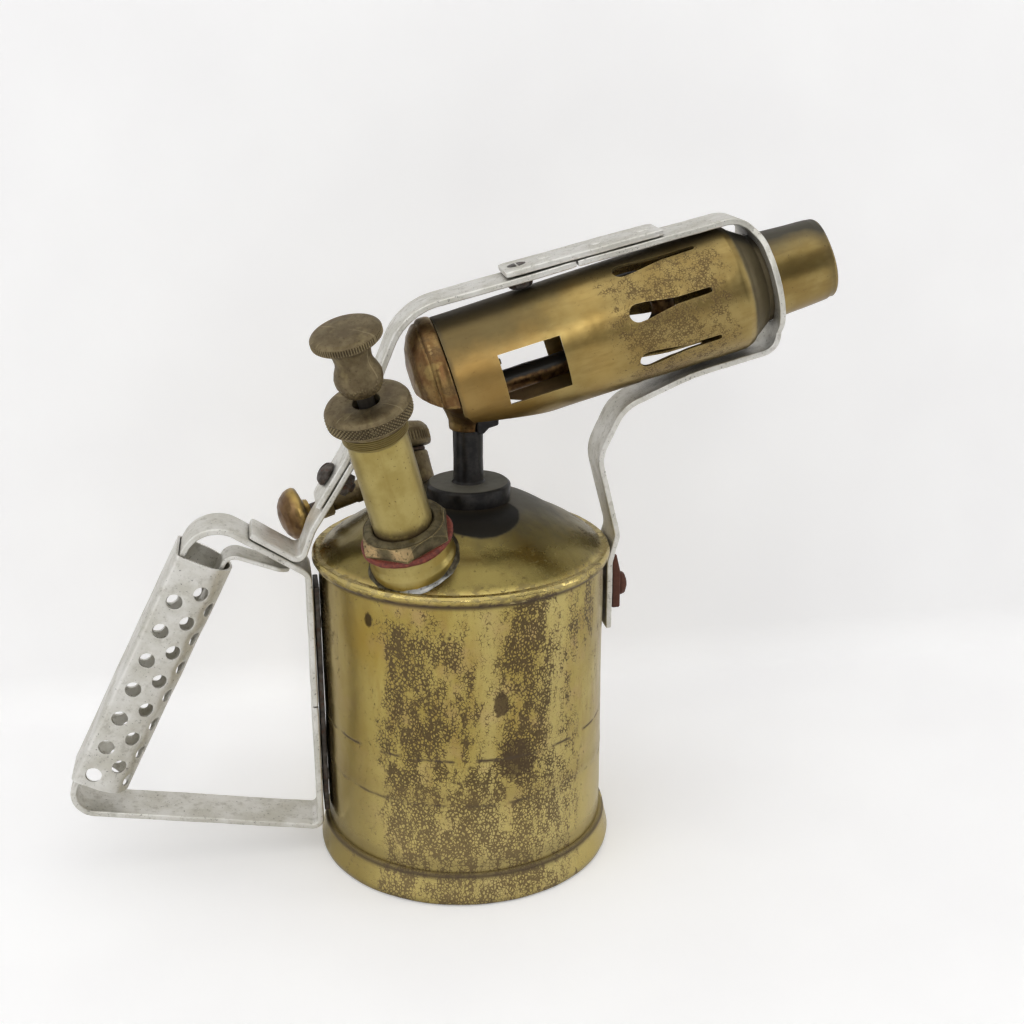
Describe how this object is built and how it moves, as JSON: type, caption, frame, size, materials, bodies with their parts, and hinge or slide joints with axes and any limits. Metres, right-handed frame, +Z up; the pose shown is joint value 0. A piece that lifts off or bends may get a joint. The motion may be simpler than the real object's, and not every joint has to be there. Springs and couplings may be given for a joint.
{
  "type": "paraffin blowlamp",
  "caption": "Hand-pumped brass blowlamp: cylindrical fuel tank, leaning pump, screw-on filler with release knob, slotted burner in a strap guard, perforated loop handle.",
  "frame": {"origin": "centre of the tank's flat resting face", "axes": "+Z up along the tank's axis, +X the side the burner points to, -X the handle; Y = 0 is the plane of the handle, burner and guard"},
  "size_m": [0.2431, 0.1054, 0.202],
  "materials": {
    "tank_brass": "aged satin, mottled brown patina",
    "burner_brass": "heat-tinted satin, golden brown",
    "pump_brass": "clean worn satin",
    "dark_bronze": "dark grey-brown tarnish with worn edges",
    "copper_brown": "reddish brown heat colour",
    "black_iron": "sooty black, slightly glossy",
    "aluminium": "rubbed satin with dark specks",
    "steel_dark": "dull dark",
    "rusty_steel": "dark red-brown rust",
    "spring_steel": "bright drawn",
    "red_fibre": "dull red vulcanised fibre",
    "leather": "oiled dark brown",
    "cork": "fine cork",
    "cotton": "twisted cotton"
  },
  "bodies": {
    "lamp": {"tank_body": "tank_brass", "tank_base": "tank_brass", "tank_top": "tank_brass", "pump_boss": "tank_brass", "burner_jacket": "burner_brass", "burner_nozzle": "burner_brass", "pickup_tube": "pump_brass", "pump_nut": "pump_brass", "pump_barrel": "pump_brass", "pump_foot": "pump_brass", "valve_plug": "pump_brass", "jet_nipple": "pump_brass", "lug_nut": "pump_brass", "filler_neck": "dark_bronze", "release_housing": "dark_bronze", "release_gland": "dark_bronze", "burner_casting": "copper_brown", "rear_cap": "copper_brown", "burner_boss": "black_iron", "riser_tube": "black_iron", "vaporiser": "black_iron", "jet_block": "black_iron", "handle_strap": "aluminium", "grip_sleeve": "aluminium", "finger_rest": "aluminium", "handle_rivet_upper": "aluminium", "handle_rivet_lower": "aluminium", "guard_foot": "aluminium", "guard_arch": "aluminium", "guard_front": "aluminium", "joint_plate": "aluminium", "plate_rivet_rear": "aluminium", "plate_rivet_mid": "aluminium", "plate_rivet_front": "aluminium", "backing_strip": "steel_dark", "plate_screw": "steel_dark", "plate_nut": "steel_dark", "lap_screw": "steel_dark", "lap_nut": "steel_dark", "lug_plate": "rusty_steel", "lug_bolt": "rusty_steel", "valve_spring": "spring_steel", "pump_washer": "red_fibre", "filler_washer": "leather", "wick": "cotton"},
    "plunger": {"cup_plate": "pump_brass", "cup_leather": "leather", "cup_washer": "pump_brass", "cup_nut": "pump_brass"},
    "pump_handle": {"pump_rod": "spring_steel", "pump_knob": "dark_bronze"},
    "pump_cap_ring": {"pump_cap": "dark_bronze"},
    "check_valve": {"valve_pad": "cork"},
    "release_needle": {"release_spindle": "steel_dark", "release_knob": "copper_brown"},
    "filler_cap": {"filler_plug": "dark_bronze"}
  },
  "joints": [
    {"name": "pump_stroke", "type": "slide", "parent": "lamp", "child": "plunger", "axis": [-0.2426, -0.2593, 0.9348], "range_m": [0, 0.072]},
    {"name": "pump_knob_spin", "type": "hinge", "parent": "plunger", "child": "pump_handle", "pos_m": [-0.01833, -0.02823, 0.10883], "axis": [-0.2426, -0.2593, 0.9348], "continuous": true},
    {"name": "pump_cap_screw", "type": "hinge", "parent": "lamp", "child": "pump_cap_ring", "pos_m": [-0.01833, -0.02823, 0.10883], "axis": [-0.2426, -0.2593, 0.9348], "range_deg": [0, 1080]},
    {"name": "check_valve_lift", "type": "slide", "parent": "lamp", "child": "check_valve", "axis": [0.2426, 0.2593, -0.9348], "range_m": [0, 0.0004]},
    {"name": "release_screw", "type": "hinge", "parent": "lamp", "child": "release_needle", "pos_m": [-0.01331, 0.02662, 0.11797], "axis": [-0.9463, -0.1914, -0.2606], "range_deg": [0, 540]},
    {"name": "filler_screw", "type": "hinge", "parent": "lamp", "child": "filler_cap", "pos_m": [-0.012, 0.024, 0.11139], "axis": [-0.1819, 0.3638, 0.9135], "range_deg": [0, 1080]}
  ]
}
